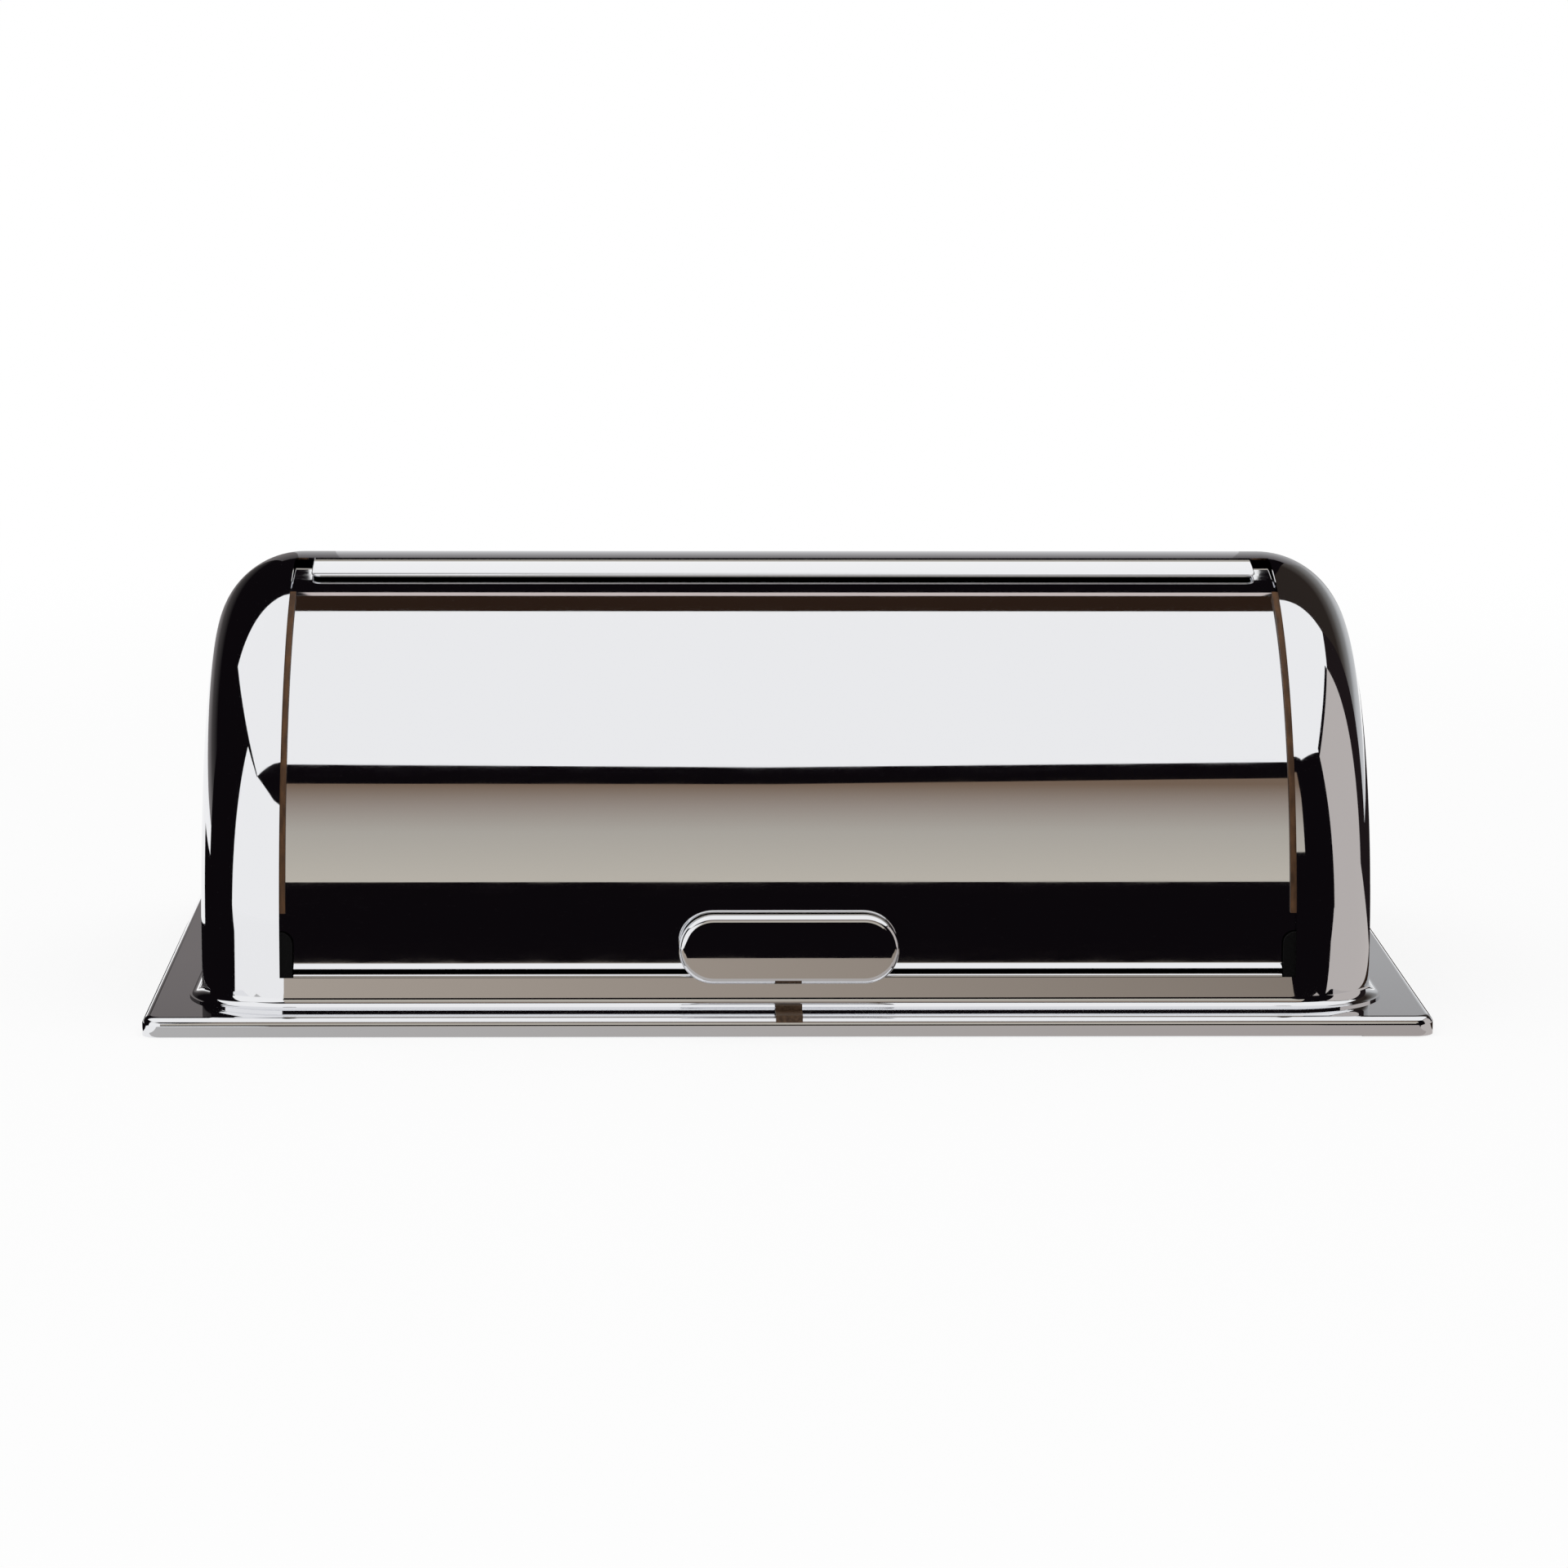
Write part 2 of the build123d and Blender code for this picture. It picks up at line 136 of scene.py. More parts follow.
def noise_to_range(finish, noise, socket, low, high):
    """Spread a noise between two values on a shader socket."""
    nodes, links = finish.node_tree.nodes, finish.node_tree.links
    spread = nodes.new("ShaderNodeMapRange")
    spread.inputs["From Min"].default_value = range_low
    spread.inputs["From Max"].default_value = range_high
    spread.inputs["To Min"].default_value = low
    spread.inputs["To Max"].default_value = high
    links.new(noise.outputs["Fac"], spread.inputs["Value"])
    links.new(spread.outputs["Result"], socket)


def noise_to_colour(finish, noise, socket, dark, light):
    """Spread a noise between two colours on a shader socket."""
    nodes, links = finish.node_tree.nodes, finish.node_tree.links
    ramp = nodes.new("ShaderNodeValToRGB")
    ramp.color_ramp.elements[0].position = colour_low
    ramp.color_ramp.elements[0].color = (*dark, 1.0)
    ramp.color_ramp.elements[1].position = colour_high
    ramp.color_ramp.elements[1].color = (*light, 1.0)
    links.new(noise.outputs["Fac"], ramp.inputs["Fac"])
    links.new(ramp.outputs["Color"], socket)


def noise_to_bump(finish, noise, shader, height):
    """Raise the surface by a noise, in metres."""
    nodes, links = finish.node_tree.nodes, finish.node_tree.links
    bump = nodes.new("ShaderNodeBump")
    bump.inputs["Strength"].default_value = 1.0
    bump.inputs["Distance"].default_value = height
    links.new(noise.outputs["Fac"], bump.inputs["Height"])
    links.new(bump.outputs["Normal"], shader.inputs["Normal"])


print("material helpers ready")

# %% Mirror-polished steel
mirror_steel, shader = new_finish("mirror_steel")
shader.inputs["Metallic"].default_value = 1.0
shader.inputs["Base Color"].default_value = (0.815, 0.82, 0.84, 1.0)
wiped = noise_on_object(mirror_steel, 60.0, (1.0, 6.0, 6.0), 4.0)
noise_to_range(mirror_steel, wiped, shader.inputs["Roughness"], 0.02, 0.045)
rolled = noise_on_object(mirror_steel, 9.0, (1.0, 1.6, 1.6), 1.0)
noise_to_bump(mirror_steel, rolled, shader, 0.03 * mm)
print("finish", mirror_steel.name)

# %% [markdown]
# The pieces inside are cut from plain sheet and bar that nobody polished. Such steel shows the grain of the
# mill, so its noise is stretched along the length, and it is rougher than the mirror. One noise drives
# colour, roughness and bump together, so that the three agree.

# %% Plain steel for the inner pieces
mill_steel, shader = new_finish("mill_steel")
shader.inputs["Metallic"].default_value = 1.0
grain = noise_on_object(mill_steel, 900.0, (0.05, 1.0, 1.0), 3.0)
noise_to_colour(mill_steel, grain, shader.inputs["Base Color"], (0.56, 0.555, 0.55), (0.68, 0.675, 0.67))
noise_to_range(mill_steel, grain, shader.inputs["Roughness"], 0.24, 0.38)
noise_to_bump(mill_steel, grain, shader, 0.01 * mm)
print("finish", mill_steel.name)

# %% [markdown]
# The small pieces are not bare steel: the slide strips are brown, the clips a dark brown, the bushes white
# plastic and the buffers black rubber. None of them shines like metal, so each is a plain shader with a fine
# noise, and most have less shine than the shader's own. The rubber has the least, because beside the mirror
# steel it has to stay black.

# %% Brown strips and dark clips
strip_brown, shader = new_finish("strip_brown")
fibre = noise_on_object(strip_brown, 420.0, (1.0, 0.25, 0.25), 4.0)
noise_to_colour(strip_brown, fibre, shader.inputs["Base Color"], (0.050, 0.022, 0.008), (0.105, 0.048, 0.018))
noise_to_range(strip_brown, fibre, shader.inputs["Roughness"], 0.45, 0.62)
shader.inputs["Specular IOR Level"].default_value = 0.25
noise_to_bump(strip_brown, fibre, shader, 0.03 * mm)

clip_brown, shader = new_finish("clip_brown")
cast = noise_on_object(clip_brown, 700.0, (1.0, 1.0, 1.0), 4.0)
noise_to_colour(clip_brown, cast, shader.inputs["Base Color"], (0.050, 0.027, 0.014), (0.100, 0.056, 0.030))
noise_to_range(clip_brown, cast, shader.inputs["Roughness"], 0.35, 0.5)
shader.inputs["Specular IOR Level"].default_value = 0.3
noise_to_bump(clip_brown, cast, shader, 0.02 * mm)
print("finishes", strip_brown.name, clip_brown.name)

# %% White bushes and black rubber
bush_white, shader = new_finish("bush_white")
moulded = noise_on_object(bush_white, 350.0, (1.0, 1.0, 1.0), 3.0)
noise_to_colour(bush_white, moulded, shader.inputs["Base Color"], (0.74, 0.73, 0.69), (0.82, 0.81, 0.77))
noise_to_range(bush_white, moulded, shader.inputs["Roughness"], 0.4, 0.52)

rubber_black, shader = new_finish("rubber_black")
skin = noise_on_object(rubber_black, 1200.0, (1.0, 1.0, 1.0), 4.0)
noise_to_colour(rubber_black, skin, shader.inputs["Base Color"],
                (0.002, 0.002, 0.0021), (0.004, 0.004, 0.0042))
noise_to_range(rubber_black, skin, shader.inputs["Roughness"], 0.55, 0.75)
shader.inputs["Specular IOR Level"].default_value = 0.08
noise_to_bump(rubber_black, skin, shader, 0.04 * mm)
print("finishes", bush_white.name, rubber_black.name)

# %% [markdown]
# A few short helpers make the pieces. A pen draws a profile: it starts at one vertex and goes straight or
# round a bend. Blender's spin does both, with a slide per step or a turn, on a vertex as on a chain of
# edges. The profile is then run along, turned, or carried once round a rounded rectangle, which is how a
# rim, a foot or a well is pressed. Two more helpers cut edges with a plane and round edges off. The last
# one shades the piece. Large flat faces must lead the shading, or flat walls look bent in their
# reflections, so a Weighted Normal modifier finishes it.

# %% Helpers that draw and carry a profile
def spun_edges(bm, geom, **how):
    """Spin or slide some geometry, and give back the edges or the vertex that it ends at."""
    out = bmesh.ops.spin(bm, geom=geom, **how)["geom_last"]
    return [g for g in out if isinstance(g, bmesh.types.BMEdge)] or out


def with_ends(edges):
    """Edges together with their vertices."""
    return edges + list({v for e in edges for v in e.verts})


def draw(bm, start, *moves):
    """Draw a chain from a start point. A move is a slide, or a bend as (centre, axis, degrees, steps)."""
    earlier = set(bm.edges)
    tip = [bm.verts.new(start)]
    for move in moves:
        if len(move) == 3:
            tip = spun_edges(bm, tip, dvec=move, axis=(0, 0, 1), angle=0.0, steps=1)
        else:
            centre, axis, turn, steps = move
            tip = spun_edges(bm, tip, cent=centre, axis=axis, angle=math.radians(turn), steps=steps)
    return [e for e in bm.edges if e not in earlier]


def run_along(bm, edges, slide, steps=1):
    """Slide a chain along a vector and leave faces behind it."""
    step = Vector(slide) / steps
    return spun_edges(bm, with_ends(edges), dvec=step, axis=(0, 0, 1), angle=0.0, steps=steps)


def turn_about(bm, edges, centre, axis, turn, steps):
    """Turn a chain about an axis by some degrees and leave faces behind it."""
    return spun_edges(bm, with_ends(edges), cent=centre, axis=axis, angle=math.radians(turn), steps=steps)


def carry_round(bm, edges, half_length, half_depth, corner, bends):
    """Carry a chain, drawn at the left end of the front, once round a rounded rectangle."""
    long_run = half_length - corner
    short_run = half_depth - corner
    sides = [((1, 0, 0), long_run, (long_run, -short_run, 0.0), bends),
             ((0, 1, 0), short_run, (long_run, short_run, 0.0), bends[::-1]),
             ((-1, 0, 0), long_run, (-long_run, short_run, 0.0), bends),
             ((0, -1, 0), short_run, (-long_run, -short_run, 0.0), bends[::-1])]
    for way, half, centre, turns in sides:
        edges = run_along(bm, edges, Vector(way) * 2 * half, 2)
        for turn, steps in turns:
            edges = turn_about(bm, edges, centre, (0, 0, 1), turn, steps)


print("drawing helpers ready")

# %% Helpers that cut and round
def cut_level(bm, place, normal, geom=None):
    """Cut new edges where a plane meets some geometry, or the whole mesh."""
    geom = geom or with_ends(bm.edges[:]) + bm.faces[:]
    bmesh.ops.bisect_plane(bm, geom=geom, plane_co=place, plane_no=normal, dist=cutting)


def round_off(bm, edges, radius, segments):
    """Round some edges."""
    bmesh.ops.bevel(bm, geom=edges, offset=radius, segments=segments, profile=0.5, affect="EDGES",
                    material=-1)


print("cutting helpers ready")

# %% Helpers that close and finish a piece
sharp_bend = math.radians(40.0)


def close_and_face_out(bm):
    """Merge doubles and point all faces outwards."""
    bmesh.ops.remove_doubles(bm, verts=bm.verts, dist=merging)
    bmesh.ops.recalc_face_normals(bm, faces=bm.faces)


def edges_at(bm, test):
    """Open edges whose two ends pass a test."""
    return [e for e in bm.edges if e.is_boundary and all(test(v.co) for v in e.verts)]


def thicken(bm):
    """Give a sheet its thickness, behind its outer faces."""
    bmesh.ops.solidify(bm, geom=bm.faces[:], thickness=sheet)


def make_piece(bm, name, finish, body, nodes):
    """Turn the mesh into a shaded piece that stands for its solids and moves with its body."""
    for face in bm.faces:
        face.smooth = True
    for edge in bm.edges:
        edge.smooth = edge.calc_face_angle(0.0) < sharp_bend
    mesh = bpy.data.meshes.new(name)
    bm.to_mesh(mesh)
    bm.free()
    mesh.materials.append(finish)
    piece = bpy.data.objects.new(name, mesh)
    scene.collection.objects.link(piece)
    shading = piece.modifiers.new("flat_faces_lead", "WEIGHTED_NORMAL")
    shading.keep_sharp = True
    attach(piece, body)
    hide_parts(*nodes)
    spans = [[v.co[i] / mm for v in mesh.vertices] for i in range(3)]
    print(name, len(mesh.polygons), "faces,", [f"{min(s):.2f} to {max(s):.2f}" for s in spans])


print("finishing helpers ready")

# %% [markdown]
# The tray is one pressed sheet. Its rim rolls down to the table, and a shallow well lies under the hood.
# Both are carried round as profiles, then the flat between them and the well's floor are filled.
# Solidify then gives the sheet its thickness below the faces. A bevelled box would be quicker to make, but
# its rim would not roll down as a sheet does.

# %% Tray rim and well
rim_roll = 3.5 * mm
rim_corner = 8.0 * mm
well_margin = 24.8 * mm
well_half_length = hood_half - well_margin
well_half_depth = hood_radius - well_margin
well_corner = 24.2 * mm
well_edge = 1.5 * mm
well_foot = 3.2 * mm
tray_bend = [(6.0, 1), (84.0, 14)]
bm = bmesh.new()
rim_left = rim_corner - tray_half_length
rim_y = rim_roll - tray_half_depth
rim_z = tray_top - rim_roll
rim = draw(bm, (rim_left, rim_y, tray_top), ((rim_left, rim_y, rim_z), (1, 0, 0), 90, 12), (0, 0, -rim_z))
carry_round(bm, rim, tray_half_length, tray_half_depth, rim_corner, tray_bend)
well_left = well_corner - well_half_length
well_y = -well_half_depth
well = draw(bm, (well_left, well_y - well_edge, tray_top),
            ((well_left, well_y - well_edge, tray_top - well_edge), (-1, 0, 0), 90, 5),
            (0, 0, -(tray_top - well_edge - sheet - well_foot)),
            ((well_left, well_y + well_foot, sheet + well_foot), (1, 0, 0), 90, 8))
carry_round(bm, well, well_half_length, well_half_depth, well_corner, tray_bend)
print("rim and well", len(bm.faces), "faces")

# %% Tray sheet
bmesh.ops.remove_doubles(bm, verts=bm.verts, dist=merging)
flat_edges = edges_at(bm, lambda co: abs(co.z - tray_top) < merging)
bmesh.ops.triangle_fill(bm, edges=flat_edges, use_beauty=True, normal=(0, 0, 1))
bmesh.ops.edgeloop_fill(bm, edges=edges_at(bm, lambda co: abs(co.z - sheet) < merging))
close_and_face_out(bm)
thicken(bm)
make_piece(bm, "tray_sheet", mirror_steel, "box", ["serving_tray"])

# %% [markdown]
# The hood is half a turn of a round-ended bar, on straight skirts that curve out into a foot. The bar's
# outline is turned from front to rear in small even steps, so the window's rear edge falls on one of them,
# and the bend at each corner is split where the window's side edge lies. The skirt and foot are carried
# round below it. Then the window's faces go, and the edge left at the rail rolls inwards. A Boolean could
# cut the window as well, but the thin faces that it leaves would show in the mirror.

# %% Hood dome
bend_steps = 23
dome_steps = 144
straight = hood_half - hood_end_radius
shoulder = hood_radius - hood_end_radius
split = math.degrees(math.asin((window_half - straight) / hood_end_radius))
rest = 90.0 - split
bm = bmesh.new()
left_centre = (-straight, -shoulder, axis_height)
right_centre = (straight, -shoulder, axis_height)
outline = draw(bm, (-hood_half, 0.0, axis_height), (0.0, -shoulder, 0.0),
               (left_centre, (0, 0, 1), rest, bend_steps), (left_centre, (0, 0, 1), split, 1),
               (straight, 0.0, 0.0), (straight, 0.0, 0.0),
               (right_centre, (0, 0, 1), split, 1), (right_centre, (0, 0, 1), rest, bend_steps),
               (0.0, shoulder, 0.0))
turn_about(bm, outline, (0, 0, axis_height), (-1, 0, 0), 180.0, dome_steps)
print("dome", len(bm.faces), "faces, bend split at", round(split, 3), "degrees")

# %% Hood skirt and foot
rail_top = 23.0 * mm
rail_roll = 1.6 * mm
rail_edge = rail_top - rail_roll
foot_top = tray_top + sheet + foot_round
hood_bend = [(split, 1), (rest, bend_steps)]
skirt = draw(bm, (-straight, -hood_radius, axis_height), (0, 0, rail_edge - axis_height),
             (0, 0, foot_top - rail_edge),
             ((-straight, -hood_radius - foot_round, foot_top), (-1, 0, 0), 90, 16), (0, -foot_lip, 0))
carry_round(bm, skirt, hood_half, hood_radius, hood_end_radius, hood_bend)
close_and_face_out(bm)
print("dome and skirt", len(bm.faces), "faces")

# %% Window
window_rear = 85.0


def in_window(face):
    """True for a face of the hood where the window is."""
    middle = face.calc_center_median()
    angle = math.degrees(math.atan2(middle.z - axis_height, -middle.y))
    return abs(middle.x) < window_half and middle.y < 0 and middle.z > rail_edge and angle < window_rear


opened = [f for f in bm.faces if in_window(f)]
print("window of", len(opened), "faces")
bmesh.ops.delete(bm, geom=opened, context="FACES")

# %% Rolled rail and hood skin
front_from = -straight / 2
for x in (-hem_half, hem_half):
    middles = {f: f.calc_center_median() for f in bm.faces}
    front = [f for f, middle in middles.items() if middle.y < front_from and middle.z < rail_edge]
    cut_level(bm, (x, 0, 0), (1, 0, 0), front + list({g for f in front for g in [*f.edges, *f.verts]}))
rail = edges_at(bm, lambda co: abs(co.z - rail_edge) < merging and co.y < 0
                and abs(co.x) < hem_half + merging)
turn_about(bm, rail, (0, rail_roll - hood_radius, rail_edge), (-1, 0, 0), 270.0, 18)
close_and_face_out(bm)
thicken(bm)
make_piece(bm, "hood_skin", mirror_steel, "box", ["hood_shell"])

# %% [markdown]
# A narrow strip lies under the window's rear edge and covers the slot above the door. Its two front corners
# are round, which a plain turn could not give. So it is drawn flat, filled, cut into rows, and then each row
# is laid round the pivots. A bevel takes the sharpness off the sheet's edge.

# %% Cover strip drawn flat
glue_film = 0.05 * mm
cover_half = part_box("rear_cover_strip")[1].x
cover_radius = hood_radius - sheet - glue_film
cover_round = 4.0 * mm
cover_front_angle, cover_rear_angle = 75.6, 92.0
cover_front = -cover_radius * math.radians(90.0 - cover_front_angle)
cover_rear = -cover_radius * math.radians(90.0 - cover_rear_angle)
cover_rows = 33
bm = bmesh.new()
draw(bm, (-cover_half, cover_rear, 0), (0, cover_front + cover_round - cover_rear, 0),
     ((cover_round - cover_half, cover_front + cover_round, 0), (0, 0, 1), 90, 8),
     (2 * (cover_half - cover_round), 0, 0),
     ((cover_half - cover_round, cover_front + cover_round, 0), (0, 0, 1), 90, 8),
     (0, cover_rear - cover_front - cover_round, 0), (-2 * cover_half, 0, 0))
bmesh.ops.remove_doubles(bm, verts=bm.verts, dist=merging)
bmesh.ops.edgeloop_fill(bm, edges=bm.edges)
for row in range(1, cover_rows):
    cut_level(bm, (0, cover_front + row * (cover_rear - cover_front) / cover_rows, 0), (0, 1, 0))
print("flat strip", len(bm.faces), "faces")

# %% Cover strip laid round the pivots
cover_edge = 0.36 * mm
sheet_edge_bend = math.radians(60.0)
for v in bm.verts:
    lean = v.co.y / cover_radius
    v.co.y = cover_radius * math.sin(lean)
    v.co.z = axis_height + cover_radius * math.cos(lean)
bm.normal_update()
if bm.faces[:][0].normal.z < 0:
    bmesh.ops.reverse_faces(bm, faces=bm.faces)
thicken(bm)
round_off(bm, [e for e in bm.edges if e.calc_face_angle() > sheet_edge_bend], cover_edge, 4)
make_piece(bm, "cover_strip", mirror_steel, "box", ["rear_cover_strip"])

# %% [markdown]
# The door is a curved sheet with a hem turned out along its bottom. Its lowest edge runs straight up to the
# height of the pivots and is then turned about them, and the hem turns out through a small bend. Both
# bottom corners are cut away round the rubber buffers. A Boolean modifier cuts the rounded notch more
# cleanly than the grid could, and two loops beside the notches keep the cut away from the large face. The
# block's side lies on an edge of the door, which leaves slivers, so the helper merges them away.

# %% Helper that cuts with a block
def cut_away(bm, block):
    """Cut one closed mesh out of another, and give back what is left, without slivers along the cut."""
    temporary = []
    for mesh_name, made in (("whole", bm), ("block", block)):
        mesh = bpy.data.meshes.new(mesh_name)
        made.to_mesh(mesh)
        made.free()
        temporary.append(bpy.data.objects.new(mesh_name, mesh))
        scene.collection.objects.link(temporary[-1])
    cut = temporary[0].modifiers.new("cut", "BOOLEAN")
    cut.object = temporary[1]
    cut.operation = "DIFFERENCE"
    cut.solver = "EXACT"
    bpy.context.view_layer.update()
    shaped = temporary[0].evaluated_get(bpy.context.evaluated_depsgraph_get())
    left = bmesh.new()
    left.from_mesh(shaped.to_mesh())
    for item in temporary:
        bpy.data.objects.remove(item)
    bmesh.ops.remove_doubles(left, verts=left.verts, dist=merging)
    bmesh.ops.dissolve_degenerate(left, edges=left.edges, dist=merging)
    return left


print("block helper ready")

# %% Door sheet
door_turn = 95.0
hem_turn = 45.0
hem_low = 25.0 * mm
hem_bend = 0.6 * mm
hem_slant = 1.8 * mm
hem_height = hem_low + hem_slant + hem_bend * math.sin(math.radians(hem_turn))
loop_inset = 3.0 * mm
beside = hem_half - loop_inset
bm = bmesh.new()
lowest = draw(bm, (-door_half, -door_radius, hem_height), (door_half - hem_half, 0, 0),
              (hem_half - beside, 0, 0), (2 * beside, 0, 0), (hem_half - beside, 0, 0),
              (door_half - hem_half, 0, 0))
hem = [e for e in lowest if all(abs(v.co.x) < hem_half + merging for v in e.verts)]
tangent = run_along(bm, lowest, (0, 0, axis_height - hem_height))
turn_about(bm, tangent, (0, 0, axis_height), (-1, 0, 0), door_turn, 76)
hem = turn_about(bm, hem, (0, -door_radius - hem_bend, hem_height), (-1, 0, 0), hem_turn, 4)
run_along(bm, hem, (0, -hem_slant, -hem_slant))
close_and_face_out(bm)
thicken(bm)
print("door sheet", len(bm.faces), "faces")

# %% Door notches
notch_top = 40.5 * mm
notch_round = 5.0 * mm
block_length = 40.0 * mm
block_height = 60.0 * mm
for side in (-1, 1):
    block = bmesh.new()
    bmesh.ops.create_cube(block, size=1.0)
    bmesh.ops.scale(block, vec=(block_length, block_height, block_height), verts=block.verts)
    centre = Vector((side * (hem_half + block_length / 2), -door_radius, notch_top - block_height / 2))
    bmesh.ops.translate(block, vec=centre, verts=block.verts)
    corner = [e for e in block.edges
              if all(v.co.z > centre.z and side * (v.co.x - centre.x) < 0 for v in e.verts)]
    round_off(block, corner, notch_round, 10)
    bm = cut_away(bm, block)
make_piece(bm, "door_sheet", mirror_steel, "door", ["door_panel"])

# %% [markdown]
# The handle is a thick plate with round ends that stands off the door and is bent like it. Its outline is
# drawn with two half turns, filled, pulled to its thickness and rounded along both edges. Level cuts give
# it rows of vertices, and a bow moves each row back by what the door's curve takes at that height. The bow
# comes last, because edges round off more evenly while the plate is flat.

# %% Handle plate drawn flat
plate_low, plate_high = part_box("handle_plate")
plate_end = (plate_high.z - plate_low.z) / 2
plate_run = plate_high.x - plate_end
plate_mid = (plate_high.z + plate_low.z) / 2
plate_reach = 14.2 * mm
plate_front = door_radius + plate_reach
plate_thick = 5.0 * mm
bm = bmesh.new()
draw(bm, (plate_run, -plate_front, plate_mid - plate_end),
     ((plate_run, -plate_front, plate_mid), (0, -1, 0), 180, 32), (-2 * plate_run, 0, 0),
     ((-plate_run, -plate_front, plate_mid), (0, -1, 0), 180, 32), (2 * plate_run, 0, 0))
bmesh.ops.remove_doubles(bm, verts=bm.verts, dist=merging)
face = bmesh.ops.edgeloop_fill(bm, edges=bm.edges)["faces"]
pulled = bmesh.ops.extrude_face_region(bm, geom=face)["geom"]
back = [g for g in pulled if isinstance(g, bmesh.types.BMVert)]
bmesh.ops.translate(bm, vec=(0, plate_thick, 0), verts=back)
close_and_face_out(bm)
print("flat plate", len(bm.faces), "faces")

# %% Handle plate rounded and bent
front_round = 3.0 * mm
back_round = 1.2 * mm
cuts_each_way = 9
cut_share = 15
for y, radius, segments in ((-plate_front, front_round, 12), (plate_thick - plate_front, back_round, 6)):
    round_off(bm, [e for e in bm.edges if all(abs(v.co.y - y) < merging for v in e.verts)], radius, segments)
for i in range(-cuts_each_way, cuts_each_way + 1):
    cut_level(bm, (0, 0, plate_mid + i * plate_end / cut_share), (0, 0, 1))
for v in bm.verts:
    v.co.y += plate_front - math.sqrt(plate_front ** 2 - (v.co.z - axis_height) ** 2)
close_and_face_out(bm)
make_piece(bm, "handle_grip", mirror_steel, "door", ["handle_plate"])

# %% [markdown]
# Each end of the hood shows one low domed bolt head. A bolt is a turned piece, so half of its outline is
# drawn and turned once round the door's axis, with the seam merged.

# %% Pivot bolts
head_radius = 8.0 * mm
head_round = 2.6 * mm
head_rise = 3.0 * mm
shank_radius = 3.0 * mm
bolt_steps = 64
for side, node in ((1, "right_pivot_bolt"), (-1, "left_pivot_bolt")):
    low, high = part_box(node)
    inner_end = min(abs(low.x), abs(high.x))
    top = hood_half + head_rise
    round_from = axis_height + head_radius - head_round
    bm = bmesh.new()
    half = draw(bm, (side * top, 0, axis_height), (0, 0, head_radius - head_round),
                ((side * (top - head_round), 0, round_from), (0, -side, 0), 90, 8),
                (side * (head_round - head_rise), 0, 0), (0, 0, shank_radius - head_radius),
                (side * (inner_end - hood_half), 0, 0), (0, 0, -shank_radius))
    bmesh.ops.spin(bm, geom=with_ends(half), cent=(0, 0, axis_height), axis=(1, 0, 0), angle=2 * math.pi,
                   steps=bolt_steps, use_merge=True)
    close_and_face_out(bm)
    make_piece(bm, node.replace("pivot_bolt", "bolt_turned"), mirror_steel, "box", [node])

# %% [markdown]
# All other solids are already the right shape, so each keeps its mesh and only gets its finish.

# %% Finishes on the remaining solids
finish_of = {"plain_steel": mill_steel, "brown_strip": strip_brown, "bronze_clip": clip_brown,
             "white_bush": bush_white, "black_rubber": rubber_black, "polished_steel": mirror_steel}
dressed = 0
for subpart in frame["record"]["subparts"]:
    solid = frame["nodes"][subpart["node"]]
    if not solid.hide_render:
        solid.data.materials.clear()
        solid.data.materials.append(finish_of[subpart["material_slot"]])
        dressed += 1
print("solids that keep their mesh", dressed)

# %% [markdown]
# The camera stands where the photographer stood, a little left of the middle and above the crown, with a
# long lens. Its place, turn, tilt and roll, in radians, were measured from the edges in the picture.

# %% Camera
camera_place = (-52.7 * mm, -2442.5 * mm, 461.2 * mm)
camera_turn, camera_tilt, camera_roll = -0.022, -0.155, 0.003
lens = bpy.data.cameras.new("camera")
lens.sensor_width = 36.0
lens.lens = 130.38
camera = bpy.data.objects.new("camera", lens)
scene.collection.objects.link(camera)
aim = (Matrix.Rotation(camera_turn, 4, "Z") @ Matrix.Rotation(math.pi / 2 + camera_tilt, 4, "X")
       @ Matrix.Rotation(camera_roll, 4, "Z"))
camera.matrix_world = Matrix.Translation(camera_place) @ aim
scene.camera = camera
print("camera at", [round(c, 3) for c in camera.matrix_world.translation])

# %% [markdown]
# A polished box has hardly any colour of its own: what one sees on it is the studio. So the studio is built
# as for a real photograph of polished metal. The surroundings are plain white, a large soft light hangs
# overhead, and black flags and beige cards round the object give the steel its dark and warm bands.
# The camera looks past the cards, and they throw no shadow. Surroundings and floor are plain white where
# they are looked at, straight or in the steel, and light the matt pieces at a level of their own.

# %% White surroundings
def looked_at(nodes, links):
    """A socket that is 1 for what the camera sees, straight or in a shine, and 0 for light on matt pieces."""
    seen = nodes.new("ShaderNodeLightPath")
    looked = seen.outputs["Is Camera Ray"]
    for ray in ("Is Glossy Ray", "Is Transmission Ray"):
        either = nodes.new("ShaderNodeMath")
        either.operation = "MAXIMUM"
        links.new(looked, either.inputs[0])
        links.new(seen.outputs[ray], either.inputs[1])
        looked = either.outputs[0]
    return looked


white = (1.0, 1.0, 1.0, 1.0)
studio = bpy.data.worlds.new("studio")
studio.use_nodes = True
scene.world = studio
nodes, links = studio.node_tree.nodes, studio.node_tree.links
shown = nodes.new("ShaderNodeBackground")
shown.inputs["Color"].default_value = white
shown.inputs["Strength"].default_value = 1.0
fill = nodes["Background"]
fill.inputs["Color"].default_value = white
fill.inputs["Strength"].default_value = 0.7
choose = nodes.new("ShaderNodeMixShader")
links.new(looked_at(nodes, links), choose.inputs["Fac"])
links.new(fill.outputs[0], choose.inputs[1])
links.new(shown.outputs[0], choose.inputs[2])
links.new(choose.outputs[0], nodes["World Output"].inputs["Surface"])
print("world", scene.world.name)

